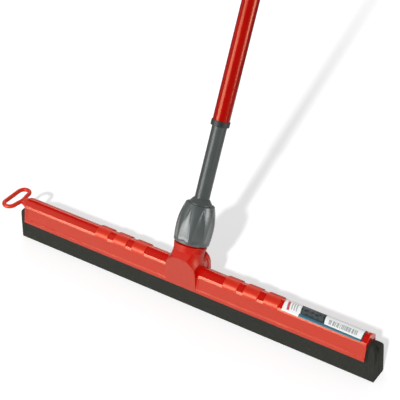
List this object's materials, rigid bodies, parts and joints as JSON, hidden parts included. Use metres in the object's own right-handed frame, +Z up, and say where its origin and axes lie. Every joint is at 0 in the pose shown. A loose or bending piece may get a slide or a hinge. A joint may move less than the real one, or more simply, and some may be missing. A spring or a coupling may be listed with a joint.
{
  "type": "floor squeegee",
  "caption": "Floor squeegee: a straight red plastic head with double cellular rubber strips, a hanging loop, and a telescopic twist-lock handle clamped by a fluted nut.",
  "frame": {"origin": "middle of the front rubber strip's sole, on the floor", "axes": "+X along the head towards its labelled end, +Y behind the head, where the handle leans, +Z up"},
  "size_m": [0.5716, 0.4522, 0.8853],
  "materials": {
    "red_plastic": "satin red injection-moulded plastic",
    "black_rubber": "matte black cellular rubber",
    "grey_plastic": "satin dark grey plastic",
    "grey_tube": "grey coated steel tube",
    "red_tube": "gloss red coated steel tube",
    "dark_plastic": "matte black plastic",
    "white_plastic": "natural white plastic",
    "label_paper": "printed film label",
    "zinc_steel": "zinc-plated steel"
  },
  "bodies": {
    "head": {"head_frame": "red_plastic", "front_blade": "black_rubber", "rear_blade": "black_rubber", "blade_carrier": "white_plastic", "info_label": "label_paper", "socket_collet": "white_plastic"},
    "gland": {"clamp_gland": "grey_plastic"},
    "nut": {"clamp_nut": "grey_plastic"},
    "inner_handle": {"inner_tube": "grey_tube", "foot_plug": "dark_plastic", "lock_spindle": "zinc_steel", "lock_retainer": "zinc_steel"},
    "twist_lock": {"lock_sleeve": "white_plastic"},
    "lock_wedge": {"lock_cone": "dark_plastic"},
    "outer_handle": {"slide_bush": "dark_plastic", "outer_tube": "red_tube", "hand_grip": "dark_plastic", "end_cap": "red_plastic"}
  },
  "joints": [
    {"name": "gland_lift", "type": "slide", "parent": "head", "child": "gland", "axis": [0, 0.4586, 0.8886], "range_m": [0, 0.00305]},
    {"name": "nut_turn", "type": "hinge", "parent": "gland", "child": "nut", "pos_m": [0, 0.02892, 0.10432], "axis": [0, 0.4586, 0.8886], "range_deg": [0, 270]},
    {"name": "handle_release", "type": "slide", "parent": "head", "child": "inner_handle", "axis": [0, 0.4586, 0.8886], "range_m": [0, 0.09]},
    {"name": "lock_twist", "type": "hinge", "parent": "inner_handle", "child": "twist_lock", "pos_m": [0, 0.33254, 0.69258], "axis": [0, 0.4586, 0.8886], "range_deg": [0, 180]},
    {"name": "wedge_travel", "type": "slide", "parent": "twist_lock", "child": "lock_wedge", "axis": [0, 0.4586, 0.8886], "range_m": [0, 0.00105]},
    {"name": "tube_slide", "type": "slide", "parent": "twist_lock", "child": "outer_handle", "axis": [0, 0.4586, 0.8886], "range_m": [-0.085, 0.43]}
  ],
  "couplings": [
    {"joint": "gland_lift", "follows": "nut_turn", "m_per_rad": 0.00063662},
    {"joint": "wedge_travel", "follows": "lock_twist", "m_per_rad": 0.00031831}
  ]
}
